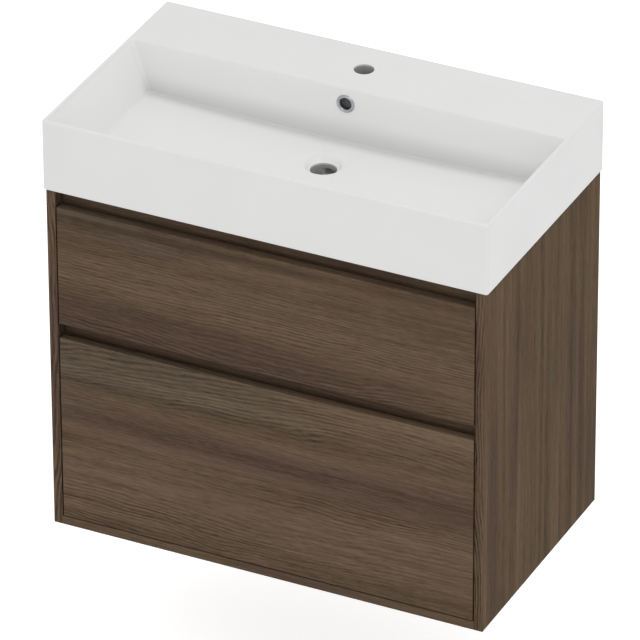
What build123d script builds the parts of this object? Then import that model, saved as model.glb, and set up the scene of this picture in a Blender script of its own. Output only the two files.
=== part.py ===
from build123d import *
import math
import os

# Wall-hung vanity unit with basin: a cast basin on a board cabinet with two handleless drawers.
# Lengths are in millimetres. X runs along the wall, +Y points into the wall, +Z is up.
# The origin is in the wall plane, at the centre of the four wall screws.

# Cabinet boards
cabinet_width = 800.0
cabinet_depth = 458.0
cabinet_height = 650.0
panel_thickness = 16.0
board_chamfer = 0.6
cut_margin = 1.0  # how far a cutting shape runs past the piece
fixing_drop = 45.0  # cabinet top above the centre of the wall screws

# Drawer fronts and the finger gaps above them
front_thickness = 16.0
top_finger_gap = 30.0
middle_finger_gap = 28.0
upper_front_height = 224.0
side_reveal = 2.5
bottom_reveal = 2.0
finger_room = 13.0  # between a front and the rail behind it

# Rails between the side panels
rail_thickness = 16.0
rail_below_edge = 30.0  # how far a front rail reaches below the front's top edge
rail_above_gap = 2.0
back_rail_setback = 16.0  # room for the wall plates behind the upper back rail
upper_back_rail_height = 110.0
lower_back_rail_height = 90.0

# Basin
basin_side_overhang = 5.0
basin_front_overhang = 2.0
basin_height = 130.0
basin_corner_radius = 5.0
basin_edge_radius = 2.4
basin_foot_bevel = 1.5
rim_steps = 3  # short slopes that make up the rounding of the bowl's edge
rim_side = 7.0
rim_front = 8.0
deck_depth = 145.0
bowl_depth = 103.0  # from the rim to the middle of the floor
floor_rise = 10.0  # the floor's ends above its middle
side_wall_lean = 32.0  # over the height from the rim to the floor's ends
front_wall_lean = 14.0
bowl_corner_radius = 6.0
floor_edge_bevel = 3.5
shell_thickness = 10.0
deck_thickness = 14.0
base_rim_side = 25.0
base_rim_front = 50.0
base_rim_back = 36.0
deck_rib_thickness = 8.0
deck_rib_offset = 190.0

# Tap hole, waste and overflow
tap_hole_radius = 17.5
tap_from_wall = 74.0
tap_pad_radius = 32.0
tap_pad_height = 6.0
drain_from_wall = 230.0
drain_radius = 23.0
drain_recess_radius = 33.0
drain_seat_radius = 25.0
drain_recess_depth = 9.0
drain_boss_radius = 37.0
drain_boss_drop = 30.0  # below the cabinet top
overflow_drop = 30.0  # below the rim
overflow_hole_radius = 14.0
overflow_ring_radius = 16.5
overflow_ring_bore = 10.5
overflow_ring_lip = 2.4
overflow_ring_bevel = 1.3
ring_sides = 36
overflow_neck_length = 8.0
overflow_neck_gap = 0.1
channel_width = 24.0
channel_depth = 16.0
channel_wall = 6.0

# Wall hangers
plate_width = 36.0
plate_thickness = 2.5
plate_side_gap = 2.0
plate_foot = 30.0  # below the centre of the screws
plate_step = 20.0  # where the hook lip leaves the wall
lip_standoff = 8.5
lip_top = 32.0
wall_screw_pitch = 32.0
wall_screw_radius = 3.25
hanger_width = 14.0
hanger_depth = 55.0
hanger_bottom = -15.0
hanger_top_gap = 8.0
hanger_corner_radius = 4.0
claw_width = 6.0
claw_thickness = 3.0
claw_drop = 8.0
claw_wall_gap = 5.0
claw_lip_gap = 1.0
claw_slot_gap = 2.0
adjuster_radius = 3.5
adjuster_depth = 2.0

# Dowels that join the boards
dowel_radius = 4.0
dowel_length = 30.0
dowel_in_side = 10.0
dowel_inset = 18.0  # from a rail's upper or lower edge
dowel_gap = 0.05
dowel_end_gap = 0.5
bottom_dowel_inset = 60.0  # from the bottom panel's front or back edge

# Drawer runners, each of three members with two roller cages between them
runner_front_gap = 2.0
runner_back_room = 40.0  # from the wall to a drawer's back
runner_sheet = 1.5
runner_bend = 1.4
cradle_width = 32.0
cradle_flange = 44.0
cradle_lip = 10.0
roller_gap = 6.0  # height between two members
roller_clearance = 0.1
roller_length = 14.0
roller_count = 4
cage_thickness = 1.2
cage_width = 16.0
cage_play = 10.0  # how much shorter than the free length a cage is
middle_width = 18.0
middle_height = 12.0
middle_seam = 3.0
member_side_gap = 2.0
cap_skirt = 16.0
upper_runner_clearance = 3.0  # above the middle rail
lower_runner_clearance = 4.0  # above the bottom panel
runner_screw_places = (37.0, 165.0, 325.0)  # from a runner's front end
runner_screw_height = 37.0
screw_radius = 2.5
screw_length = 13.0
screw_head_radius = 4.5
screw_head_height = 2.0
screw_head_bevel = 0.8
screw_gap = 0.1
pin_sides = 10  # flats round each screw, dowel and roller
damper_length = 90.0
damper_from_back = 20.0
damper_width = 12.0
damper_radius = 4.5
damper_base = 3.0
damper_end = 6.0

# Drawer boxes
drawer_side_offset = 8.0  # from the side panel to the drawer side
drawer_side_width = 16.0
drawer_side_sheet = 1.2
drawer_side_bend = 2.0
upper_side_height = 120.0
lower_side_height = 190.0
side_foot_flange = 20.0
drawer_board = 16.0
board_gap = 0.3
trap_cut_width = 260.0
trap_cut_radius = 40.0
trap_front_clearance = 75.0  # from the drain's axis to the front of the cut-out
surround_thickness = 4.0
surround_flange = 10.0
surround_flange_thickness = 2.0
bracket_plate = 2.0
bracket_inner_width = 20.0
bracket_edge_gap = 8.0
bracket_tongue_length = 45.0
bracket_tongue_gap = 0.8
front_screw_length = 12.0
gallery_radius = 5.0
gallery_height = 40.0  # the rail's axis above the drawer side
gallery_socket_radius = 8.0
gallery_socket_length = 12.0
gallery_post = 10.0

# Places that follow from the sizes above
cabinet_half = cabinet_width / 2
inner_half = cabinet_half - panel_thickness
z_top = fixing_drop
z_bottom = z_top - cabinet_height
z_floor = z_bottom + panel_thickness
y_front = -cabinet_depth
y_front_back = y_front + front_thickness
y_rail = y_front_back + finger_room
upper_front_top = z_top - top_finger_gap
upper_front_bottom = upper_front_top - upper_front_height
lower_front_top = upper_front_bottom - middle_finger_gap
lower_front_bottom = z_floor + bottom_reveal
top_rail_bottom = upper_front_top - rail_below_edge
middle_rail_top = upper_front_bottom + rail_above_gap
middle_rail_bottom = lower_front_top - rail_below_edge
y_back_rail = -back_rail_setback - rail_thickness
y_runner = y_front_back + runner_front_gap
y_runner_back = -runner_back_room
runner_length = y_runner_back - y_runner
drawer_travel = runner_length  # a drawer comes out by its runners' whole length
upper_runner_base = middle_rail_top + upper_runner_clearance
lower_runner_base = z_floor + lower_runner_clearance

# Heights and widths inside a runner, from its base and from the side panel
middle_base = runner_sheet + roller_gap
middle_top = middle_base + middle_height
cap_top = middle_top + roller_gap + runner_sheet
middle_offset = (cradle_width - middle_width) / 2
cap_offset = middle_offset - member_side_gap - runner_sheet
board_height = cap_top + drawer_side_sheet
drawer_inner_half = inner_half - drawer_side_offset - drawer_side_width

os.makedirs("parts", exist_ok=True)


def save(name, shape):
    """Writes one piece to its own file and prints its name, solids and volume."""
    solids = shape.solids()
    piece = solids[0] if len(solids) == 1 else Compound(children=list(solids))
    piece.label = name
    export_step(piece, f"parts/{name}.step")
    print(name, len(solids), "solids", round(piece.volume / 1000, 2), "cm3")


def block(x0, x1, y0, y1, z0, z1):
    """A box between two corners."""
    centre = Pos((x0 + x1) / 2, (y0 + y1) / 2, (z0 + z1) / 2)
    return centre * Box(abs(x1 - x0), abs(y1 - y0), abs(z1 - z0))


def board(x0, x1, y0, y1, z0, z1):
    """A board with its long edges broken."""
    solid = block(x0, x1, y0, y1, z0, z1)
    return chamfer(solid.edges(), board_chamfer)


def rod(radius, start, end):
    """A round bar between two points."""
    axis = Vector(*end) - Vector(*start)
    return extrude(Plane(origin=start, z_dir=axis) * Circle(radius), amount=axis.length)


def pin(radius, start, end):
    """A slim round piece that repeats, with flats to keep it light."""
    axis = Vector(*end) - Vector(*start)
    section = RegularPolygon(radius, pin_sides)
    return extrude(Plane(origin=start, z_dir=axis) * section, amount=axis.length)


def rect(x0, x1, z0, z1):
    """A rectangle in a drawing plane."""
    return Pos((x0 + x1) / 2, (z0 + z1) / 2) * Rectangle(abs(x1 - x0), abs(z1 - z0))


def round_at(sketch, corners, radius):
    """Rounds the corners of a section that lie nearest to the given points."""
    picked = [sketch.vertices().sort_by_distance(Vector(x, z))[0] for x, z in corners]
    return fillet(picked, radius)


def along_y(section, y0, y1):
    """Carries a section, drawn in X and Z, from y0 to y1."""
    return extrude(Plane.XZ.offset(-y1) * section, amount=y1 - y0)


def save_pair(name, right_piece):
    """Writes a piece of the right side and its mirror image on the left."""
    save(f"{name}_right", right_piece)
    save(f"{name}_left", mirror(right_piece, about=Plane.YZ))


def from_side(offset):
    """The X of a point that lies a distance inwards from the right side panel."""
    return inner_half - offset


# Basin: outer block, leaning bowl over a dished floor, hollow underside, overflow channel
basin_half = cabinet_half + basin_side_overhang
basin_front = y_front - basin_front_overhang
basin_top = z_top + basin_height
bowl_floor = basin_top - bowl_depth
lean_height = bowl_depth - floor_rise
drain_seat = bowl_floor - drain_recess_depth
overflow_height = basin_top - overflow_drop
channel_top = overflow_height + overflow_hole_radius
channel_floor = z_top - channel_depth / 2


def bowl_prism(grow, z_low, z_high):
    """The leaning walls of the bowl, moved outwards by grow, between two heights."""
    sections = []
    for z in (z_low, z_high):
        drop = (basin_top - z) / lean_height
        half = basin_half - rim_side - side_wall_lean * drop + grow
        front = basin_front + rim_front + front_wall_lean * drop - grow
        back = -deck_depth + grow
        outline = RectangleRounded(2 * half, back - front, bowl_corner_radius + grow)
        sections.append(Plane((0, (front + back) / 2, z)) * outline)
    return loft(sections, ruled=True)


def below_floor(drop, deep):
    """Everything from the dished floor, lowered by drop, down to a depth under its middle."""
    reach = basin_half - rim_side - side_wall_lean
    low = bowl_floor - drop
    end = low + floor_rise
    arc = ThreePointArc((-reach, end), (0, low), (reach, end))
    outer = basin_half + cut_margin
    outer_end = end + floor_rise * 2 * (outer - reach) / reach
    rest = Polyline((reach, end), (outer, outer_end), (outer, low - deep),
                    (-outer, low - deep), (-outer, outer_end), (-reach, end))
    return along_y(make_face([arc, rest]), basin_front - cut_margin, cut_margin)


def edge_rounding(half, front, back, corner, way):
    """A slab under the basin's top that widens upwards, or narrows for way -1, in short rounded slopes."""
    sections = []
    for step in range(rim_steps + 1):
        turn = math.pi / 2 * step / rim_steps
        grow = way * basin_edge_radius * (1 - math.cos(turn))
        height = basin_top - basin_edge_radius * (1 - math.sin(turn))
        outline = RectangleRounded(2 * (half + grow), back - front + 2 * grow, corner + grow)
        sections.append(Plane((0, (front + back) / 2, height)) * outline)
    return loft(sections, ruled=True)


def basin_block():
    """The outside of the casting, with its upright, upper and lower edges rounded."""
    solid = block(-basin_half, basin_half, basin_front, 0, z_top, basin_top - basin_edge_radius)
    solid = fillet(solid.edges().filter_by(Axis.Z), basin_corner_radius)
    solid = chamfer(solid.faces().sort_by(Axis.Z)[0].edges(), basin_foot_bevel)
    return solid + edge_rounding(basin_half, basin_front, 0, basin_corner_radius, -1)


def bowl_void():
    """The space that holds the water."""
    void = bowl_prism(0, bowl_floor - cut_margin, basin_top) - below_floor(0, 2 * cut_margin)
    return chamfer(void.faces().sort_by(Axis.Z)[0].edges(), floor_edge_bevel)


def rim_rounding():
    """The rounding between the bowl's walls and the rim."""
    return edge_rounding(basin_half - rim_side, basin_front + rim_front, -deck_depth,
                         bowl_corner_radius, 1)


def underside_void():
    """The hollow under the deck and round the bowl's shell."""
    inside = block(-basin_half + base_rim_side, basin_half - base_rim_side,
                   basin_front + base_rim_front, -base_rim_back,
                   z_top - cut_margin, basin_top - deck_thickness)
    shell = bowl_prism(shell_thickness, bowl_floor - shell_thickness - cut_margin, basin_top)
    hollow = inside - (shell - below_floor(shell_thickness, 2 * cut_margin))
    pad = rod(tap_pad_radius, (0, -tap_from_wall, basin_top - deck_thickness - tap_pad_height),
              (0, -tap_from_wall, basin_top))
    hollow -= pad
    for x in (-deck_rib_offset, deck_rib_offset):
        hollow -= block(x - deck_rib_thickness / 2, x + deck_rib_thickness / 2,
                        -deck_depth, 0, z_top + channel_wall, basin_top)
    return hollow


def channel_solid(wall):
    """The overflow channel: down behind the bowl, then forwards to the waste."""
    half = channel_width / 2 + wall
    back = -deck_depth + shell_thickness
    upright = block(-half, half, back, back + channel_depth + wall,
                    channel_floor - wall, channel_top + wall)
    level = block(-half, half, -drain_from_wall, back + channel_depth + wall,
                  channel_floor - wall, channel_floor + channel_depth + wall)
    return upright + level


def drain_recess():
    """The countersink round the waste, carried on upwards past the curved floor."""
    height = drain_recess_depth + floor_rise / 2
    slope = (drain_recess_radius - drain_seat_radius) / drain_recess_depth
    cone = Cone(drain_seat_radius, drain_seat_radius + slope * height, height)
    return Pos(0, -drain_from_wall, drain_seat + height / 2) * cone


def basin():
    """The whole basin as one casting."""
    body = basin_block() - bowl_void() - rim_rounding()
    body -= underside_void()
    centre = (0, -drain_from_wall)
    body += channel_solid(channel_wall) - bowl_void()
    body += rod(drain_boss_radius, (*centre, z_top - drain_boss_drop), (*centre, drain_seat))
    body -= drain_recess()
    body -= rod(drain_radius, (*centre, z_top - drain_boss_drop - cut_margin), (*centre, bowl_floor))
    body -= channel_solid(0)
    body -= rod(overflow_hole_radius, (0, -deck_depth - cut_margin, overflow_height),
                (0, -deck_depth + shell_thickness + cut_margin, overflow_height))
    tap_top = basin_top + cut_margin
    return body - rod(tap_hole_radius, (0, -tap_from_wall, z_top), (0, -tap_from_wall, tap_top))


def ring_stage(radius, y0, y1):
    """A short length of the overflow ring's outside or bore, with flats to keep it light."""
    section = Plane.XZ.offset(-y1) * (Pos(0, overflow_height) * RegularPolygon(radius, ring_sides))
    return extrude(section, amount=y1 - y0)


def overflow_ring():
    """The trim ring in the overflow hole: a bevelled lip and a neck."""
    face = -deck_depth - overflow_ring_lip
    end = -deck_depth + overflow_neck_length
    ring = ring_stage(overflow_ring_radius, face, -deck_depth)
    ring = chamfer(ring.faces().sort_by(Axis.Y)[0].edges(), overflow_ring_bevel)
    ring += ring_stage(overflow_hole_radius - overflow_neck_gap, -deck_depth, end)
    return ring - ring_stage(overflow_ring_bore, face - cut_margin, end + cut_margin)


# Dowels: every place where one joins a board to the right side panel, as Y and Z
dowel_places = []
for y in (y_front + bottom_dowel_inset, -bottom_dowel_inset):
    dowel_places.append((y, z_bottom + panel_thickness / 2))
for y, low, high in (
    (y_rail + rail_thickness / 2, top_rail_bottom, z_top),
    (y_rail + rail_thickness / 2, middle_rail_bottom, middle_rail_top),
    (y_back_rail + rail_thickness / 2, z_top - upper_back_rail_height, hanger_bottom),
    (-rail_thickness / 2, z_floor, z_floor + lower_back_rail_height),
):
    dowel_places.append((y, low + dowel_inset))
    dowel_places.append((y, high - dowel_inset))


def dowel_set(gap, end_gap):
    """The dowels of both sides, or with gaps the holes for them."""
    pins = []
    for y, z in dowel_places:
        start = inner_half + dowel_in_side + end_gap
        end = inner_half + dowel_in_side - dowel_length - end_gap
        dowel = pin(dowel_radius + gap, (start, y, z), (end, y, z))
        pins += [dowel, mirror(dowel, about=Plane.YZ)]
    return Compound(children=pins)


def runner_screw(y, base, gap):
    """A runner's screw in the right side panel, or with a gap the hole for it."""
    z = base + runner_screw_height
    seat = from_side(runner_sheet)
    shank = pin(screw_radius + gap, (seat, y, z), (seat + screw_length + gap, y, z))
    if gap:
        return shank
    head = pin(screw_head_radius, (seat - screw_head_height, y, z), (seat, y, z))
    return shank + chamfer(head.faces().sort_by(Axis.X)[0].edges(), screw_head_bevel)


runner_screws = [(y_runner + place, base) for place in runner_screw_places
                 for base in (upper_runner_base, lower_runner_base)]


def side_panel():
    """The right side panel with its dowel and screw holes."""
    panel = board(inner_half, cabinet_half, y_front, 0, z_bottom, z_top)
    panel -= dowel_set(dowel_gap, dowel_end_gap)
    for y, base in runner_screws:
        panel -= runner_screw(y, base, screw_gap)
    return panel


def rail(y0, z0, z1):
    """A board between the side panels."""
    solid = board(-inner_half, inner_half, y0, y0 + rail_thickness, z0, z1)
    return solid - dowel_set(dowel_gap, dowel_end_gap)


# Wall hangers: a plate on the wall with a raised lip, and a claw that hooks over it
claw_offset = hanger_width / 2
plate_offset = plate_side_gap + plate_width / 2
lip_back = -lip_standoff


def wall_plate():
    """The right wall plate: bent up from sheet, with its two screw holes."""
    section = Polyline(
        (0, -plate_foot), (0, plate_step), (lip_back, plate_step), (lip_back, lip_top),
        (lip_back - plate_thickness, lip_top), (lip_back - plate_thickness, plate_step - plate_thickness),
        (-plate_thickness, plate_step - plate_thickness), (-plate_thickness, -plate_foot), close=True)
    face = make_face(Plane.YZ.offset(from_side(plate_side_gap + plate_width)) * section)
    plate = extrude(face, amount=plate_width)
    for z in (-wall_screw_pitch / 2, wall_screw_pitch / 2):
        x = from_side(plate_offset)
        plate -= rod(wall_screw_radius, (x, -plate_thickness - cut_margin, z), (x, cut_margin, z))
    return plate


def hanger():
    """The right hanger: a housing on the side panel and the claw through the back rail."""
    top = z_top - hanger_top_gap
    front = y_back_rail - hanger_depth
    housing = block(from_side(hanger_width), inner_half, front, y_back_rail, hanger_bottom, top)
    housing = fillet(housing.edges().filter_by(Axis.X), hanger_corner_radius)
    x0 = from_side(claw_offset + claw_width / 2)
    x1 = x0 + claw_width
    tip = -claw_wall_gap
    arm = block(x0, x1, y_back_rail - hanger_depth / 2, tip, lip_top, lip_top + claw_thickness)
    hook = block(x0, x1, lip_back + claw_lip_gap, tip, lip_top - claw_drop, lip_top + claw_thickness)
    claw = arm + hook
    body = housing + claw
    x = from_side(claw_offset)
    for z in (hanger_bottom + hanger_width, top - hanger_width):
        body -= pin(adjuster_radius, (x, front - cut_margin, z), (x, front + adjuster_depth, z))
    return body


def upper_back_rail():
    """The rail behind the drawers at the top, notched for the two claws."""
    solid = rail(y_back_rail, z_top - upper_back_rail_height, z_top)
    notch = block(from_side(claw_offset + claw_width / 2 + claw_slot_gap), inner_half + cut_margin,
                  y_back_rail - cut_margin, -back_rail_setback + cut_margin,
                  lip_top - claw_drop - claw_slot_gap, z_top + cut_margin)
    return solid - notch - mirror(notch, about=Plane.YZ)


# Runner members, drawn for the right side from the side panel and the runner's base
def member(section, base):
    """Carries a member's section along the runner and puts it in the cabinet."""
    placed = Pos(inner_half, base) * mirror(section, about=Plane.YZ)
    return along_y(placed, y_runner, y_runner_back)


def cabinet_member(base):
    """The cradle that is screwed to the side panel."""
    inner = cradle_width - runner_sheet
    section = rect(0, cradle_width, 0, cradle_flange)
    section -= rect(runner_sheet, cradle_width, cradle_lip, cradle_flange)
    section -= rect(runner_sheet, inner, runner_sheet, cradle_lip)
    section = round_at(section, [(cradle_width, 0)], runner_bend)
    solid = member(section, base)
    for place in runner_screw_places:
        solid -= runner_screw(y_runner + place, base, screw_gap)
    return solid


def middle_member(base):
    """The rolled box that carries the drawer half of the way."""
    left, right = middle_offset, middle_offset + middle_width
    section = rect(left, right, middle_base, middle_top)
    corners = [(x, z) for x in (left, right) for z in (middle_base, middle_top)]
    section = round_at(section, corners, runner_bend)
    section -= rect(left + runner_sheet, right - runner_sheet,
                    middle_base + runner_sheet, middle_top - runner_sheet)
    seam = (middle_base + middle_top) / 2
    section -= rect(right - runner_sheet, right, seam - middle_seam / 2, seam + middle_seam / 2)
    return member(section, base)


def drawer_member(base):
    """The cap that the drawer side stands on."""
    left, right = cap_offset, cradle_width - cap_offset
    section = rect(left, right, cap_top - cap_skirt, cap_top)
    section = round_at(section, [(left, cap_top), (right, cap_top)], runner_bend)
    section -= rect(left + runner_sheet, right - runner_sheet,
                    cap_top - cap_skirt, cap_top - runner_sheet)
    return member(section, base)


def roller_cage(base, level):
    """A strip with rollers between two members, level above the runner's base."""
    length = runner_length - drawer_travel / 2 - cage_play
    middle = (y_runner + y_runner_back) / 2
    z = base + level
    x0 = from_side((cradle_width + cage_width) / 2)
    cage = block(x0, x0 + cage_width, middle - length / 2, middle + length / 2,
                 z - cage_thickness / 2, z + cage_thickness / 2)
    x0 = from_side((cradle_width + roller_length) / 2)
    pitch = length / roller_count
    for i in range(roller_count):
        y = middle + (i - (roller_count - 1) / 2) * pitch
        cage += pin(roller_gap / 2 - roller_clearance, (x0, y, z), (x0 + roller_length, y, z))
    return cage


def soft_close(base):
    """The damper beside the cradle: a cylinder between two end blocks on a base."""
    x0 = from_side(cradle_width + damper_width)
    x1 = from_side(cradle_width)
    y1 = y_runner_back - damper_from_back
    y0 = y1 - damper_length
    axis = base + damper_base + damper_radius
    top = base + damper_base + 2 * damper_radius
    unit = block(x0, x1, y0, y1, base, base + damper_base + damper_radius / 2)
    unit += rod(damper_radius, ((x0 + x1) / 2, y0, axis), ((x0 + x1) / 2, y1, axis))
    for end in (y0, y1 - damper_end):
        unit += block(x0, x1, end, end + damper_end, base, top)
    return unit


# Drawer boxes: double-walled steel sides, board bottom and back, brackets to the front
def drawer_side(base, height):
    """A hollow side, closed at the top, with an inner flange that carries the bottom."""
    outer = drawer_side_offset
    inner = outer + drawer_side_width
    low = cap_top
    section = rect(outer, inner, low, low + height)
    section = round_at(section, [(outer, low + height), (inner, low + height)], drawer_side_bend)
    section -= rect(outer + drawer_side_sheet, inner - drawer_side_sheet,
                    low, low + height - drawer_side_sheet)
    section += rect(inner - drawer_side_sheet, inner + side_foot_flange, low, low + drawer_side_sheet)
    return member(section, base)


def front_bracket(base, height):
    """The plate behind the front and the tongue inside the drawer side."""
    outer = drawer_side_offset
    inner = outer + drawer_side_width
    low = board_height + drawer_board + bracket_edge_gap
    high = cap_top + height - bracket_edge_gap
    plate = block(from_side(inner + bracket_inner_width), from_side(outer), y_front_back, y_runner,
                  base + low, base + high)
    edge = drawer_side_sheet + bracket_tongue_gap
    tongue = block(from_side(inner - edge), from_side(outer + edge),
                   y_runner, y_runner + bracket_tongue_length,
                   base + low + bracket_edge_gap, base + high - bracket_edge_gap)
    return plate + tongue


def front_screw_places(base, height):
    """X and Z of the two screws through the right bracket."""
    x = from_side(drawer_side_offset + drawer_side_width + bracket_inner_width / 2)
    low = base + board_height + drawer_board + 2 * bracket_edge_gap
    high = base + cap_top + height - 2 * bracket_edge_gap
    return [(x, low), (x, high)]


def front_screw(x, z, gap):
    """A screw from the bracket into the front, or with a gap the hole for it."""
    seat = y_front_back + bracket_plate
    shank = pin(screw_radius + gap, (x, seat, z), (x, seat - front_screw_length - gap, z))
    if gap:
        return shank
    head = pin(screw_head_radius, (x, seat, z), (x, seat + screw_head_height, z))
    return shank + chamfer(head.faces().sort_by(Axis.Y)[-1].edges(), screw_head_bevel)


def drawer_front(z0, z1, base, height):
    """A front board with the pilot holes of its bracket screws."""
    front_half = inner_half - side_reveal
    front = board(-front_half, front_half, y_front, y_front_back, z0, z1)
    for x, z in front_screw_places(base, height):
        for side in (-1, 1):
            front -= front_screw(side * x, z, screw_gap)
    return front


def drawer_bottom(base):
    """The bottom board between the drawer sides."""
    half = drawer_inner_half - board_gap
    low = base + board_height
    return block(-half, half, y_front_back, y_runner_back, low, low + drawer_board)


def save_drawer(level, base, height, z0, z1):
    """Writes the front, sides, brackets, screws and runner parts of one drawer."""
    save(f"drawer_front_{level}", drawer_front(z0, z1, base, height))
    save_pair(f"drawer_side_{level}", drawer_side(base, height))
    bracket = front_bracket(base, height)
    screws = []
    for x, z in front_screw_places(base, height):
        bracket -= front_screw(x, z, screw_gap)
        screws += [front_screw(x, z, 0), front_screw(-x, z, 0)]
    save_pair(f"front_bracket_{level}", bracket)
    save(f"front_screws_{level}", Compound(children=screws))
    save_pair(f"runner_cabinet_{level}", cabinet_member(base))
    save_pair(f"runner_middle_{level}", middle_member(base))
    save_pair(f"runner_drawer_{level}", drawer_member(base))
    save_pair(f"cage_fixed_{level}", roller_cage(base, runner_sheet + roller_gap / 2))
    save_pair(f"cage_moving_{level}", roller_cage(base, middle_top + roller_gap / 2))
    save_pair(f"soft_close_{level}", soft_close(base))


def trap_outline(grow):
    """The outline of the trap cut-out, open at the drawer's back, moved outwards by grow."""
    y0 = -drain_from_wall - trap_front_clearance - grow
    y1 = y_runner_back + trap_cut_radius + grow
    outline = RectangleRounded(trap_cut_width + 2 * grow, y1 - y0, trap_cut_radius + grow)
    return Pos(0, (y0 + y1) / 2) * outline


def trap_surround(low, high):
    """The wall round the trap cut-out, with a flange on the bottom board."""
    start = Pos(0, 0, low)
    wall = extrude(start * (trap_outline(surround_thickness) - trap_outline(0)), amount=high - low)
    wide = surround_thickness + surround_flange
    flange = extrude(start * (trap_outline(wide) - trap_outline(0)), amount=surround_flange_thickness)
    far = trap_cut_width
    wall -= block(-far, far, y_runner_back, y_runner_back + far, low, high)
    flange -= block(-far, far, y_runner_back - drawer_board - board_gap, y_runner_back + far, low, high)
    return wall + flange


def gallery_rail(base, height):
    """The round rail above a deep drawer's side, with its socket and its post."""
    top = base + cap_top + height
    x = from_side(drawer_side_offset + drawer_side_width / 2)
    z = top + gallery_height
    bar = rod(gallery_radius, (x, y_front_back, z), (x, y_runner_back - gallery_post / 2, z))
    socket = rod(gallery_socket_radius, (x, y_front_back, z), (x, y_front_back + gallery_socket_length, z))
    post = block(x - gallery_post / 2, x + gallery_post / 2, y_runner_back - gallery_post, y_runner_back,
                 top, z + gallery_radius)
    return bar + socket + post


save("basin", basin())
save("overflow_ring", overflow_ring())
save_pair("side_panel", side_panel())
bottom_panel = board(-inner_half, inner_half, y_front, 0, z_bottom, z_floor)
save("bottom_panel", bottom_panel - dowel_set(dowel_gap, dowel_end_gap))
save("top_rail", rail(y_rail, top_rail_bottom, z_top))
save("middle_rail", rail(y_rail, middle_rail_bottom, middle_rail_top))
save("back_rail_upper", upper_back_rail())
save("back_rail_lower", rail(-rail_thickness, z_floor, z_floor + lower_back_rail_height))
save("board_dowels", dowel_set(0, 0))
save_pair("wall_plate", wall_plate())
save_pair("hanger", hanger())

screws = [runner_screw(y, base, 0) for y, base in runner_screws]
save("runner_screws", Compound(children=screws + [mirror(s, about=Plane.YZ) for s in screws]))

save_drawer("upper", upper_runner_base, upper_side_height, upper_front_bottom, upper_front_top)
save_drawer("lower", lower_runner_base, lower_side_height, lower_front_bottom, lower_front_top)

upper_board_top = upper_runner_base + board_height + drawer_board
upper_back_top = upper_runner_base + cap_top + upper_side_height
cut_out = extrude(Pos(0, 0, upper_board_top) * trap_outline(0), amount=-drawer_board)
save("drawer_bottom_upper", drawer_bottom(upper_runner_base) - cut_out)
save("trap_surround", trap_surround(upper_board_top, upper_back_top))
save_pair("drawer_back_upper", block(trap_cut_width / 2 + surround_thickness + board_gap,
                                     drawer_inner_half - board_gap,
                                     y_runner_back - drawer_board, y_runner_back,
                                     upper_board_top, upper_back_top))

lower_board_top = lower_runner_base + board_height + drawer_board
lower_back_top = lower_runner_base + cap_top + lower_side_height
save("drawer_bottom_lower", drawer_bottom(lower_runner_base))
save("drawer_back_lower", block(-drawer_inner_half + board_gap, drawer_inner_half - board_gap,
                                y_runner_back - drawer_board, y_runner_back,
                                lower_board_top, lower_back_top))
save_pair("gallery_rail", gallery_rail(lower_runner_base, lower_side_height))
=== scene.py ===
"""Looks for the wall-hung vanity unit: walnut decor boards, a satin ceramic basin, steel drawer parts.

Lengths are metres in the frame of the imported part: X along the wall, +Y into the wall, +Z up.
"""
import math

import bmesh
import bpy
import numpy as np
from mathutils import Matrix, Vector


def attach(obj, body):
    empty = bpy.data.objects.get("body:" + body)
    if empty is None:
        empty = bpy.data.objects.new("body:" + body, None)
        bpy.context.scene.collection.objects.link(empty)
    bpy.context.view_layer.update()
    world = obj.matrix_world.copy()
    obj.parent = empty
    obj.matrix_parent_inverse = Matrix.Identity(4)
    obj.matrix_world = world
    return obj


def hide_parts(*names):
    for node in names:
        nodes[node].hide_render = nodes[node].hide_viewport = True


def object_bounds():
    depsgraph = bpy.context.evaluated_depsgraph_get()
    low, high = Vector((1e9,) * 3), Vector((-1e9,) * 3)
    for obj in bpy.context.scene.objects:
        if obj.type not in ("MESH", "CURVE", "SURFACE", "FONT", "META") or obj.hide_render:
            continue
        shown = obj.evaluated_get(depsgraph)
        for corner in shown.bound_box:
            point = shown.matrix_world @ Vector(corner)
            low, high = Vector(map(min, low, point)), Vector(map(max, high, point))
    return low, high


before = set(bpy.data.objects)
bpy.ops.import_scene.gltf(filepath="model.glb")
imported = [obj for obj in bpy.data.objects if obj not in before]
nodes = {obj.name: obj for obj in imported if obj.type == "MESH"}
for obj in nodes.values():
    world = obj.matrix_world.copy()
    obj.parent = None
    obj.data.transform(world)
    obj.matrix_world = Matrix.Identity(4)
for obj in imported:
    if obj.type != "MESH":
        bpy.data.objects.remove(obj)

cad_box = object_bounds()

# The photograph's view
camera_place = Vector((4.7871, -10.0966, 6.3032))
camera_target = Vector((-0.010196, -0.225, -0.232268))
camera_roll = math.radians(-0.247)
camera_lens = 428.35  # millimetres, as the sensor's width is
sensor_width = 36.0

# The room
floor_below = 0.25  # floor under the cabinet
floor_size = 14.0
floor_colour = (0.8, 0.8, 0.8)
floor_glow = 0.62  # added for the camera, so that the floor shows white round the shadow
room_light = 0.82
lamps = (  # name, place, size, watts
    ("key", (2.8, -1.2, 4.8), 3.0, 45.0),
    ("front", (0.2, -4.6, 1.0), 3.0, 18.0),
)

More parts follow.
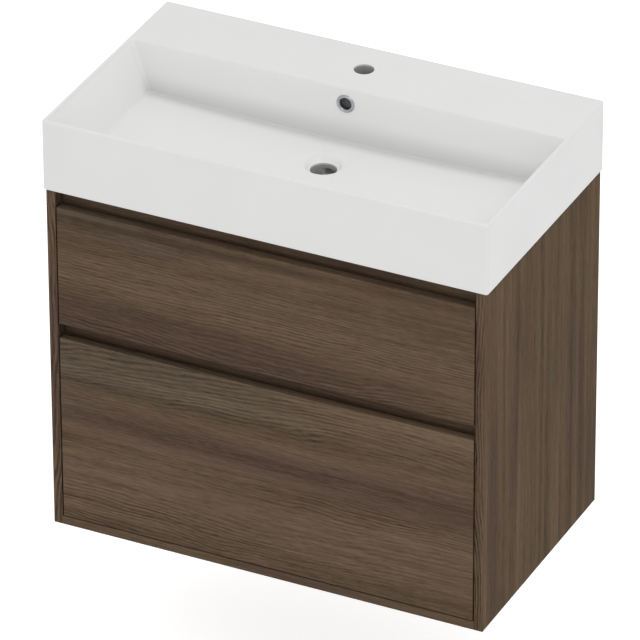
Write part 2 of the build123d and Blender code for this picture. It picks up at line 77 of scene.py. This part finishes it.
# Colours, as linear values
walnut_tan = (0.126, 0.085, 0.053)
walnut_mid = (0.102, 0.068, 0.044)
walnut_red = (0.087, 0.055, 0.040)
walnut_olive = (0.097, 0.076, 0.054)
walnut_brown = (0.064, 0.042, 0.028)
side_painted_shade = (0.93, 0.87, 0.72)  # painted shade: darkens the side panels' outer faces to offset their sheen at the photograph's slant
cabinet_side = 0.400  # X of the side panels' outer faces
ceramic_white = (0.80, 0.80, 0.795)
bowl_painted_light = (0.85, 0.85, 0.845)  # painted light: paler than the rest, so the bowl looks more lit, to match the photograph
cloud_shade = 0.985  # shares of the two whites
# painted shade at the foot of the bowl's back wall
cove_painted_shade = 0.80
# the holes' walls: bare, unglazed ceramic, darkened further as painted shade
bare_and_painted_shade = 0.50

# The walnut's pattern. Patches have a colour of their own: colour, middle as X and Z, half sizes,
# strength. Lined places show all their growth lines: middle, half sizes.
line_spacing = 0.0058
upper_patches = (
    (walnut_tan, (0.05, -0.090), (0.60, 0.045), 0.8),
    (walnut_red, (-0.22, -0.178), (0.48, 0.042), 0.9),
    (walnut_brown, (-0.12, 0.000), (0.36, 0.007), 0.7),
)
upper_lined = (((0.0, -0.196), (0.75, 0.026)), ((0.1, -0.120), (0.40, 0.030)))
lower_patches = (
    (walnut_tan, (0.12, -0.500), (0.60, 0.075), 0.7),
    (walnut_olive, (-0.26, -0.276), (0.34, 0.048), 0.6),
    (walnut_red, (0.04, -0.386), (0.62, 0.036), 0.9),
)
lower_lined = (((-0.12, -0.276), (0.55, 0.050)), ((-0.26, -0.548), (0.36, 0.048)),
               ((0.22, -0.440), (0.30, 0.030)))

# The bowl and the basin's holes
bowl_half_width = 0.398
bowl_top = 0.175
bowl_front = -0.452
cove_shade_top = 0.079  # Z above which the painted shade at the back wall's foot fades
cove_shade_reach = 0.027  # how far in front of that wall it has faded out
tap_place = -0.074  # Y of the tap hole's middle
drain_place = -0.230  # Y of the waste hole's middle
hole_end = -0.050  # no hole reaches further back

# The bare wall of each hole, unglazed and painted darker as shade: radius, where the glaze is whole and
# where it is gone
tap_hole = (0.0178, 0.1748, 0.170)  # along Z
drain_hole = (0.0233, 0.0630, 0.058)  # along Z
overflow_hole = (0.0142, -0.1448, -0.142)  # along Y

# The overflow ring
ring_middle = (0.0, 0.145)  # X and Z
ring_plane = -0.145  # Y of the bowl's back wall
ring_bore = 0.0105
ring_outside = 0.0165
ring_lip = 0.0024
ring_neck = 0.0139
ring_neck_length = 0.008
ring_steps = 96
lip_points = 25

# Shading
soft_edge = math.radians(50)  # bends under this angle shade as roundings


class Tree:
    """A material's node tree, with short calls for the nodes that the finishes use."""

    def __init__(self, name):
        self.material = bpy.data.materials.new(name)
        self.material.use_nodes = True
        self.nodes = self.material.node_tree.nodes
        self.links = self.material.node_tree.links
        self.shader = self.nodes["Principled BSDF"]
        self.place = self.node("ShaderNodeTexCoord").outputs["Object"]

    def put(self, socket, value):
        """Sets an input, or links it where the value is another node's output."""
        if isinstance(value, bpy.types.NodeSocket):
            self.links.new(value, socket)
        else:
            socket.default_value = value

    def node(self, kind, inputs=None, **settings):
        """Adds a node with its settings and inputs."""
        made = self.nodes.new(kind)
        for key, value in settings.items():
            setattr(made, key, value)
        for key, value in (inputs or {}).items():
            self.put(made.inputs[key], value)
        return made

    def mapped(self, vector, scale=(1, 1, 1), turn=(0, 0, 0), shift=(0, 0, 0)):
        """Coordinates turned, stretched and moved."""
        inputs = {"Vector": vector, "Scale": scale, "Rotation": turn, "Location": shift}
        return self.node("ShaderNodeMapping", inputs).outputs[0]

    def noise(self, vector, scale=1.0, detail=2.0, roughness=0.5):
        """Smooth noise between about 0.25 and 0.75."""
        inputs = {"Vector": vector, "Scale": scale, "Detail": detail, "Roughness": roughness}
        return self.node("ShaderNodeTexNoise", inputs).outputs["Fac"]

    def math(self, operation, a, b=0.0):
        """One sum on two values."""
        return self.node("ShaderNodeMath", {0: a, 1: b}, operation=operation).outputs[0]

    def between(self, value, low, high, to_low=0.0, to_high=1.0):
        """A smooth step from one range to another."""
        inputs = {"Value": value, "From Min": low, "From Max": high, "To Min": to_low, "To Max": to_high}
        return self.node("ShaderNodeMapRange", inputs, interpolation_type="SMOOTHSTEP").outputs[0]

    def mix(self, factor, a, b, blend="MIX"):
        """Two colours mixed."""
        made = self.node("ShaderNodeMix", data_type="RGBA", blend_type=blend)
        self.put(made.inputs["Factor"], factor)
        for socket, value in ((made.inputs[6], a), (made.inputs[7], b)):
            self.put(socket, (*value, 1.0) if isinstance(value, tuple) else value)
        return made.outputs[2]

    def bump(self, height, strength, distance):
        """A bump from a height, joined to the shader."""
        made = self.node("ShaderNodeBump", {"Height": height, "Strength": strength, "Distance": distance})
        self.links.new(made.outputs[0], self.shader.inputs["Normal"])

    def finish(self, **values):
        """Sets the shader's inputs, with spaces for underlines in their names."""
        for key, value in values.items():
            value = (*value, 1.0) if isinstance(value, tuple) and len(value) == 3 else value
            self.put(self.shader.inputs[key.replace("_", " ")], value)
        return self.material


def shade(colour, share):
    """A colour brought down to a share of itself."""
    return tuple(share * c for c in colour)


def patch(t, middle, half, wobble):
    """A soft oval on a front with an uneven edge: 1 in the middle and 0 outside."""
    x, _, z = t.node("ShaderNodeSeparateXYZ", {0: t.place}).outputs
    total = 0.0
    for value, centre, reach in ((x, middle[0], half[0]), (z, middle[1], half[1])):
        part = t.math("DIVIDE", t.math("SUBTRACT", value, centre), reach)
        total = t.math("ADD", total, t.math("MULTIPLY", part, part))
    total = t.math("ADD", total, t.math("MULTIPLY", wobble, 0.35))
    return t.between(total, 1.8, 0.1)


def walnut(name, turn, shift, lines=1.0, stripes=1.0, tint=(1.0, 1.0, 1.0), face=None,
           patches=(), lined=()):
    """Walnut decor: wavy growth lines over slow bands of tan, brown and olive, along local X.

    A growth line lies where the sine of the place across the grain is high. That place is bent by
    noise of three sizes, so the lines run in long arcs, wander and tremble. The bands and stripes
    are noise stretched along the grain. All of them scale one base colour up and down. The tint
    covers the whole piece or, where face gives an X, only what lies out there: the rest is the
    board's edge, which shows its lines more strongly.
    """
    t = Tree(name)
    turned = t.mapped(t.place, turn=turn, shift=shift)
    along, across, depth = t.node("ShaderNodeSeparateXYZ", {0: turned}).outputs
    across = t.math("ADD", across, t.math("MULTIPLY", depth, 1.3))
    sheet = t.node("ShaderNodeCombineXYZ", {0: along, 1: across, 2: 0.0}).outputs[0]

    def field(stretch, offset, **settings):
        """Noise on the stretched sheet, centred on 0 and reaching about 1 either way."""
        value = t.noise(t.mapped(sheet, (*stretch, 1.0), shift=(*offset, 0.0)), **settings)
        return t.math("MULTIPLY", t.math("SUBTRACT", value, 0.5), 4.0)

    def blend(*terms):
        """A sum of fields, each with its weight."""
        total = 0.0
        for value, weight in terms:
            total = t.math("ADD", total, t.math("MULTIPLY", value, weight))
        return total

    arcs = field((1.3, 4.5), (0.0, 0.0), detail=0.0)
    wander = field((6.0, 16.0), (3.1, 1.0), detail=1.0)
    tremble = field((30.0, 120.0), (5.2, 4.0), detail=2.0, roughness=0.65)
    bent = t.math("ADD", across, blend((arcs, 0.022), (wander, 0.0055), (tremble, 0.0012)))
    spacing = field((0.6, 9.0), (8.0, 6.0), detail=0.0)
    turns = t.math("ADD", t.math("MULTIPLY", bent, 1.0 / line_spacing), t.math("MULTIPLY", spacing, 2.0))
    ring = t.math("SINE", t.math("MULTIPLY", turns, 2 * math.pi))
    ring = t.between(ring, -0.6, 1.0, -0.7, 1.1)
    broad = field((0.9, 8.5), (1.3, 5.0), detail=2.0, roughness=0.55)
    show = t.between(field((1.4, 9.0), (7.7, 2.0), detail=2.0), -0.7, 0.9, 0.05, 0.75)
    for middle, half in lined:
        show = t.math("MAXIMUM", show, patch(t, middle, half, broad))
    on_face = 1.0
    if face is not None:
        sideways = t.math("ABSOLUTE", t.node("ShaderNodeSeparateXYZ", {0: t.place}).outputs[0])
        on_face = t.between(sideways, face - 0.0006, face - 0.0002)
        edge = t.math("SUBTRACT", 1.0, on_face)
        show = t.math("MULTIPLY", t.math("MAXIMUM", show, edge), t.math("ADD", edge, 1.0))
    broken = t.between(field((12.0, 120.0), (1.0, 9.0), detail=2.0), -0.8, 0.5, 0.2, 1.0)
    ring = t.math("MULTIPLY", t.math("MULTIPLY", ring, show), broken)

    stripe = field((0.8, 34.0), (9.0, 1.0), detail=2.0, roughness=0.6)
    streak = field((11.0, 185.0), (6.0, 2.0), detail=3.0, roughness=0.7)
    fibre = field((45.0, 420.0), (2.0, 7.0), detail=3.0, roughness=0.75)
    pore = t.between(field((50.0, 900.0), (3.0, 3.0), detail=1.0), 0.4, 1.0)
    red = t.between(field((1.6, 10.0), (4.4, 1.7), detail=2.0), -0.2, 0.9)
    olive = t.between(field((2.2, 8.0), (4.0, 8.0), detail=2.0), 0.35, 1.1)

    colour = t.mix(t.between(broad, -0.8, 0.7), walnut_mid, walnut_tan)
    colour = t.mix(red, colour, walnut_red)
    colour = t.mix(olive, colour, walnut_olive)
    for tone, middle, half, strength in patches:
        colour = t.mix(t.math("MULTIPLY", patch(t, middle, half, broad), strength), colour, tone)
    colour = t.mix(on_face, colour, tint, "MULTIPLY")
    gain = t.math("ADD", 1.0, blend((ring, -0.25 * lines), (stripe, 0.17 * stripes), (streak, 0.27),
                                    (fibre, 0.26), (pore, -0.30)))
    gain = t.math("MAXIMUM", gain, 0.2)
    colour = t.node("ShaderNodeVectorMath", {0: colour, "Scale": gain}, operation="SCALE").outputs[0]
    t.bump(gain, 0.25, 0.0003)
    roughness = t.between(gain, 0.6, 1.4, 0.62, 0.52)
    return t.finish(Base_Color=colour, Roughness=roughness, Specular_IOR_Level=0.04)


def ceramic(name):
    """Satin white basin: slightly wavy, with painted light that makes the bowl paler, painted shade at its
    back wall's foot, and holes whose bare walls are darker, partly unglazed and partly painted shade.
    """
    t = Tree(name)
    x, y, z = t.node("ShaderNodeSeparateXYZ", {0: t.place}).outputs
    sideways = t.math("ABSOLUTE", x)
    back_wall = (y, ring_plane + 0.002, ring_plane + 0.001)
    cloud = t.noise(t.place, scale=9.0, detail=3.0)
    speck = t.noise(t.place, scale=900.0, detail=1.0)

    def length(a, b):
        """The length of a two-part offset."""
        return t.math("SQRT", t.math("ADD", t.math("MULTIPLY", a, a), t.math("MULTIPLY", b, b)))

    def limited(mask, *limits):
        """A mask inside soft limits: each is a value, where it makes the mask 0 and where it keeps it."""
        for value, outside, inside in limits:
            mask = t.math("MULTIPLY", mask, t.between(value, outside, inside))
        return mask

    # Painted shade: grey that fades out from the foot of the bowl's back wall
    rise = t.math("MAXIMUM", t.math("SUBTRACT", z, cove_shade_top), 0.0)
    away = length(t.math("SUBTRACT", y, ring_plane), t.math("MULTIPLY", rise, 0.6))
    cove_shade_mask = limited(t.between(away, cove_shade_reach, 0.0), back_wall,
                   (z, bowl_top - 0.002, bowl_top - 0.004),
                   (sideways, bowl_half_width, bowl_half_width - 0.004))
    # Painted light: the inside of the bowl is paler than the rest
    bowl_light_mask = limited(1.0, (sideways, bowl_half_width, bowl_half_width - 0.002),
                   (z, bowl_top - 0.0005, bowl_top - 0.003),
                   (y, bowl_front, bowl_front + 0.002), back_wall)
    # The holes' bare, unglazed walls, darkened further as painted shade
    bare_and_shade_mask = 0.0
    for offset, value, (radius, whole, gone) in (
        (t.math("SUBTRACT", y, tap_place), z, tap_hole),
        (t.math("SUBTRACT", y, drain_place), z, drain_hole),
        (t.math("SUBTRACT", z, ring_middle[1]), y, overflow_hole),
    ):
        hole = t.math("LESS_THAN", length(x, offset), radius)
        hole = t.math("MULTIPLY", hole, t.math("LESS_THAN", y, hole_end))
        bare_and_shade_mask = t.math("MAXIMUM", bare_and_shade_mask, t.math("MULTIPLY", hole, t.between(value, whole, gone)))
    colour = t.mix(t.between(cloud, 0.3, 0.7), ceramic_white, shade(ceramic_white, cloud_shade))
    # Painted light in the bowl, then painted shade at the back wall's foot and in the holes
    colour = t.mix(bowl_light_mask, colour, bowl_painted_light)
    colour = t.mix(cove_shade_mask, colour, shade(bowl_painted_light, cove_painted_shade))
    colour = t.mix(bare_and_shade_mask, colour, shade(ceramic_white, bare_and_painted_shade))
    t.bump(t.math("ADD", cloud, t.math("MULTIPLY", speck, 0.05)), 0.08, 0.002)
    roughness = t.between(cloud, 0.3, 0.7, 0.34, 0.40)
    return t.finish(Base_Color=colour, Roughness=roughness, Specular_IOR_Level=0.35)


def metal(name, tone, roughness, brush=(1, 1, 1), bump=0.1):
    """Sheet metal with drawn streaks, cloudy zinc and a roughness that varies with them."""
    t = Tree(name)
    streak = t.noise(t.mapped(t.place, brush), scale=60.0, detail=3.0)
    cloud = t.noise(t.place, scale=40.0, detail=4.0)
    uneven = t.math("MULTIPLY", t.math("ADD", streak, cloud), 0.5)
    colour = t.mix(t.between(uneven, 0.3, 0.7), shade(tone, 0.82), tone)
    t.bump(uneven, bump, 0.0003)
    rough = t.between(uneven, 0.3, 0.7, roughness * 1.25, roughness * 0.85)
    return t.finish(Base_Color=colour, Roughness=rough, Metallic=1.0)


def coating(name, tone, roughness, grain, bump):
    """Powder coat, moulded plastic or melamine: an even colour under a fine grain."""
    t = Tree(name)
    fine = t.noise(t.place, scale=grain, detail=2.0)
    cloud = t.noise(t.place, scale=14.0, detail=3.0)
    colour = t.mix(t.between(cloud, 0.3, 0.7), tone, shade(tone, 0.9))
    colour = t.mix(t.between(fine, 0.35, 0.65, 0.0, 0.25), colour, shade(tone, 0.8))
    t.bump(fine, bump, 0.0002)
    rough = t.between(fine, 0.3, 0.7, roughness * 1.15, roughness * 0.9)
    return t.finish(Base_Color=colour, Roughness=rough, Specular_IOR_Level=0.4)


def beech(name):
    """Bare beech dowels: pale fibres along X."""
    t = Tree(name)
    fibre = t.noise(t.mapped(t.place, (20, 500, 500)), detail=3.0)
    colour = t.mix(t.between(fibre, 0.3, 0.7), (0.50, 0.34, 0.20), (0.62, 0.45, 0.28))
    t.bump(fibre, 0.2, 0.0002)
    return t.finish(Base_Color=colour, Roughness=t.between(fibre, 0.3, 0.7, 0.7, 0.6))


def piece(name, points, faces, body, material, slot_name):
    """A new object from points and faces in the row frame, which rides on a CAD body."""
    mesh = bpy.data.meshes.new(name)
    mesh.from_pydata(points.tolist(), [], faces)
    mesh.materials.append(material)
    made = bpy.data.objects.new(name, mesh)
    bpy.context.scene.collection.objects.link(made)
    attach(made, body)
    return made


def soften(made):
    """Shades gentle bends round, and keeps large faces flat and strong edges sharp."""
    mesh = made.data
    work = bmesh.new()
    work.from_mesh(mesh)
    for face in work.faces:
        face.smooth = True
    for edge in work.edges:
        edge.smooth = edge.calc_face_angle(math.pi) < soft_edge
    work.to_mesh(mesh)
    work.free()
    weighted = made.modifiers.new("flat_faces_first", "WEIGHTED_NORMAL")
    weighted.keep_sharp = True
    weighted.weight = 100


def merged_node(name):
    """The points and faces of a CAD node's mesh in the row frame, with equal points joined."""
    node = nodes[name]
    loose = np.array([node.matrix_world @ vertex.co for vertex in node.data.vertices])
    points, joined = np.unique(loose.round(6), axis=0, return_inverse=True)
    joined = joined.reshape(-1)
    faces = []
    for polygon in node.data.polygons:
        corners = [int(joined[i]) for i in polygon.vertices]
        if len(set(corners)) == len(corners):
            faces.append(corners)
    return points, faces


def turned_ring():
    """The overflow ring: a half-round lip and a straight neck, turned about an axis along Y.

    The section is a half ellipse from the bore to the outer edge in front of the wall, closed
    behind by the neck. Each of its points goes round in a circle.
    """
    middle = (ring_bore + ring_outside) / 2
    reach = (ring_outside - ring_bore) / 2
    bend = np.linspace(0.0, math.pi, lip_points)
    radius = middle + reach * np.cos(bend)
    place = ring_plane - ring_lip * np.sin(bend)
    back = ring_plane + ring_neck_length
    radius = np.concatenate([radius, [ring_bore, ring_neck, ring_neck]])
    place = np.concatenate([place, [back, back, ring_plane]])
    angle = np.linspace(0.0, 2 * math.pi, ring_steps, endpoint=False)
    x = ring_middle[0] + np.outer(np.cos(angle), radius)
    z = ring_middle[1] + np.outer(np.sin(angle), radius)
    y = np.broadcast_to(place, x.shape)
    points = np.stack([x, y, z], axis=-1).reshape(-1, 3)
    count = len(radius)
    faces = []
    for i in range(ring_steps):
        here, following = i * count, (i + 1) % ring_steps * count
        for j in range(count):
            k = (j + 1) % count
            faces.append((here + j, here + k, following + k, following + j))
    return points, faces


def dress(names, material):
    """Gives CAD nodes their finish."""
    for name in names:
        node = nodes[name]
        if not node.material_slots:
            node.data.materials.append(None)
        for slot in node.material_slots:
            slot.material = material


def both(name):
    """The names of a piece's left and right copies."""
    return [f"{name}_left", f"{name}_right"]


quarter = math.pi / 2
level = (-quarter, 0, 0)  # grain along X on a face that looks forwards
upright = (quarter, 0, quarter)  # grain along Z on a face that looks sideways

dress(["drawer_front_upper"],
      walnut("walnut_front_upper", level, (0.0, 0.0, 0.0), 1.0, 1.2, (1.02, 1.03, 1.02),
             patches=upper_patches, lined=upper_lined))
dress(["drawer_front_lower"],
      walnut("walnut_front_lower", level, (1.7, 0.35, 0.0), 1.0, 1.8, (1.12, 1.13, 1.13),
             patches=lower_patches, lined=lower_lined))
dress(["top_rail", "middle_rail", "bottom_panel"], walnut("walnut_rails", level, (3.1, 0.9, 0.0)))
# The side panels' tint is painted shade that offsets their sheen.
for hand, shift in (("right", (0.4, 2.2, 0.0)), ("left", (2.9, 4.1, 0.0))):
    dress([f"side_panel_{hand}"],
          walnut(f"walnut_side_{hand}", upright, shift, 0.8, 1.8, side_painted_shade, cabinet_side))

basin = piece("basin_glazed", *merged_node("basin"), "cabinet", ceramic("ceramic_white"), "white_ceramic")
soften(basin)
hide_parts("basin")
ring = piece("overflow_ring_turned", *turned_ring(), "cabinet",
             metal("chrome", (0.52, 0.53, 0.55), 0.12, bump=0.02), "chrome")
soften(ring)
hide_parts("overflow_ring")

zinc = metal("zinc_steel", (0.62, 0.64, 0.66), 0.32, brush=(4, 1, 4))
powder = coating("powder_grey", (0.15, 0.155, 0.16), 0.42, 1800.0, 0.25)
board = coating("melamine_grey", (0.40, 0.39, 0.38), 0.5, 900.0, 0.2)
dark_plastic = coating("grey_plastic", (0.12, 0.12, 0.125), 0.45, 1200.0, 0.2)
pale_plastic = coating("white_plastic", (0.72, 0.72, 0.70), 0.4, 1200.0, 0.1)
dress(["back_rail_upper", "back_rail_lower", "drawer_bottom_upper", "drawer_bottom_lower",
       "drawer_back_lower"] + both("drawer_back_upper"), board)
dress(["board_dowels"], beech("beech"))
dress(both("wall_plate") + both("hanger") + ["runner_screws"], zinc)
dress(both("gallery_rail") + ["trap_surround"], powder)
for drawer in ("upper", "lower"):
    dress([f"front_screws_{drawer}"] + both(f"front_bracket_{drawer}"), zinc)
    for member in ("runner_cabinet", "runner_middle", "runner_drawer"):
        dress(both(f"{member}_{drawer}"), zinc)
    dress(both(f"drawer_side_{drawer}"), powder)
    dress(both(f"soft_close_{drawer}"), dark_plastic)
    dress(both(f"cage_fixed_{drawer}") + both(f"cage_moving_{drawer}"), pale_plastic)


def white_to_camera(tree):
    """A factor of 1 for the rays that show the surroundings: camera, glossy and transmission."""
    path = tree.nodes.new("ShaderNodeLightPath").outputs
    total = path["Is Camera Ray"]
    for name in ("Is Glossy Ray", "Is Transmission Ray"):
        joined = tree.nodes.new("ShaderNodeMath")
        joined.operation = "MAXIMUM"
        tree.links.new(total, joined.inputs[0])
        tree.links.new(path[name], joined.inputs[1])
        total = joined.outputs[0]
    return total


def studio_floor():
    """A plain pale floor, which keeps the shadow and shows white to the camera."""
    half = floor_size / 2
    height = cad_box[0][2] - floor_below
    corners = [(x, y, height) for x, y in ((-half, -half), (half, -half), (half, half), (-half, half))]
    mesh = bpy.data.meshes.new("floor")
    mesh.from_pydata(corners, [], [(0, 1, 2, 3)])
    floor = bpy.data.objects.new("floor", mesh)
    bpy.context.scene.collection.objects.link(floor)
    material = bpy.data.materials.new("floor_pale")
    material.use_nodes = True
    tree = material.node_tree
    shader = tree.nodes["Principled BSDF"]
    shader.inputs["Base Color"].default_value = (*floor_colour, 1.0)
    shader.inputs["Roughness"].default_value = 0.9
    shader.inputs["Specular IOR Level"].default_value = 0.0
    glow = tree.nodes.new("ShaderNodeEmission")
    added = tree.nodes.new("ShaderNodeMath")
    added.operation = "MULTIPLY"
    added.inputs[1].default_value = floor_glow
    tree.links.new(white_to_camera(tree), added.inputs[0])
    tree.links.new(added.outputs[0], glow.inputs["Strength"])
    both_shaders = tree.nodes.new("ShaderNodeAddShader")
    tree.links.new(shader.outputs[0], both_shaders.inputs[0])
    tree.links.new(glow.outputs[0], both_shaders.inputs[1])
    tree.links.new(both_shaders.outputs[0], tree.nodes["Material Output"].inputs["Surface"])
    mesh.materials.append(material)


def studio_world():
    """Even light from all round, white to the camera."""
    world = bpy.data.worlds.new("studio")
    world.use_nodes = True
    tree = world.node_tree
    background = tree.nodes["Background"]
    background.inputs["Color"].default_value = (1.0, 1.0, 1.0, 1.0)
    background.inputs["Strength"].default_value = room_light
    white = tree.nodes.new("ShaderNodeBackground")
    white.inputs["Strength"].default_value = 1.0
    choose = tree.nodes.new("ShaderNodeMixShader")
    tree.links.new(white_to_camera(tree), choose.inputs[0])
    tree.links.new(background.outputs[0], choose.inputs[1])
    tree.links.new(white.outputs[0], choose.inputs[2])
    tree.links.new(choose.outputs[0], tree.nodes["World Output"].inputs["Surface"])
    bpy.context.scene.world = world


def soft_light(name, place, size, power):
    """A square lamp that looks at the cabinet's middle."""
    lamp = bpy.data.lights.new(name, "AREA")
    lamp.shape = "SQUARE"
    lamp.size = size
    lamp.energy = power
    holder = bpy.data.objects.new(name, lamp)
    aim = camera_target - Vector(place)
    holder.matrix_world = Matrix.Translation(place) @ aim.to_track_quat("-Z", "Y").to_matrix().to_4x4()
    bpy.context.scene.collection.objects.link(holder)


def photo_camera():
    """The camera at the photograph's place, turned a little about its own axis."""
    ahead = (camera_target - camera_place).normalized()
    right = ahead.cross(Vector((0, 0, 1))).normalized()
    up = right.cross(ahead)
    side = right * math.cos(camera_roll) + up * math.sin(camera_roll)
    top = up * math.cos(camera_roll) - right * math.sin(camera_roll)
    turned = Matrix((side, top, -ahead)).transposed().to_4x4()
    lens = bpy.data.cameras.new("photo_camera")
    lens.lens = camera_lens
    lens.sensor_width = sensor_width
    holder = bpy.data.objects.new("photo_camera", lens)
    holder.matrix_world = Matrix.Translation(camera_place) @ turned
    bpy.context.scene.collection.objects.link(holder)
    bpy.context.scene.camera = holder


studio_floor()
studio_world()
for lamp in lamps:
    soft_light(*lamp)
photo_camera()
bpy.context.scene.view_settings.view_transform = "Standard"
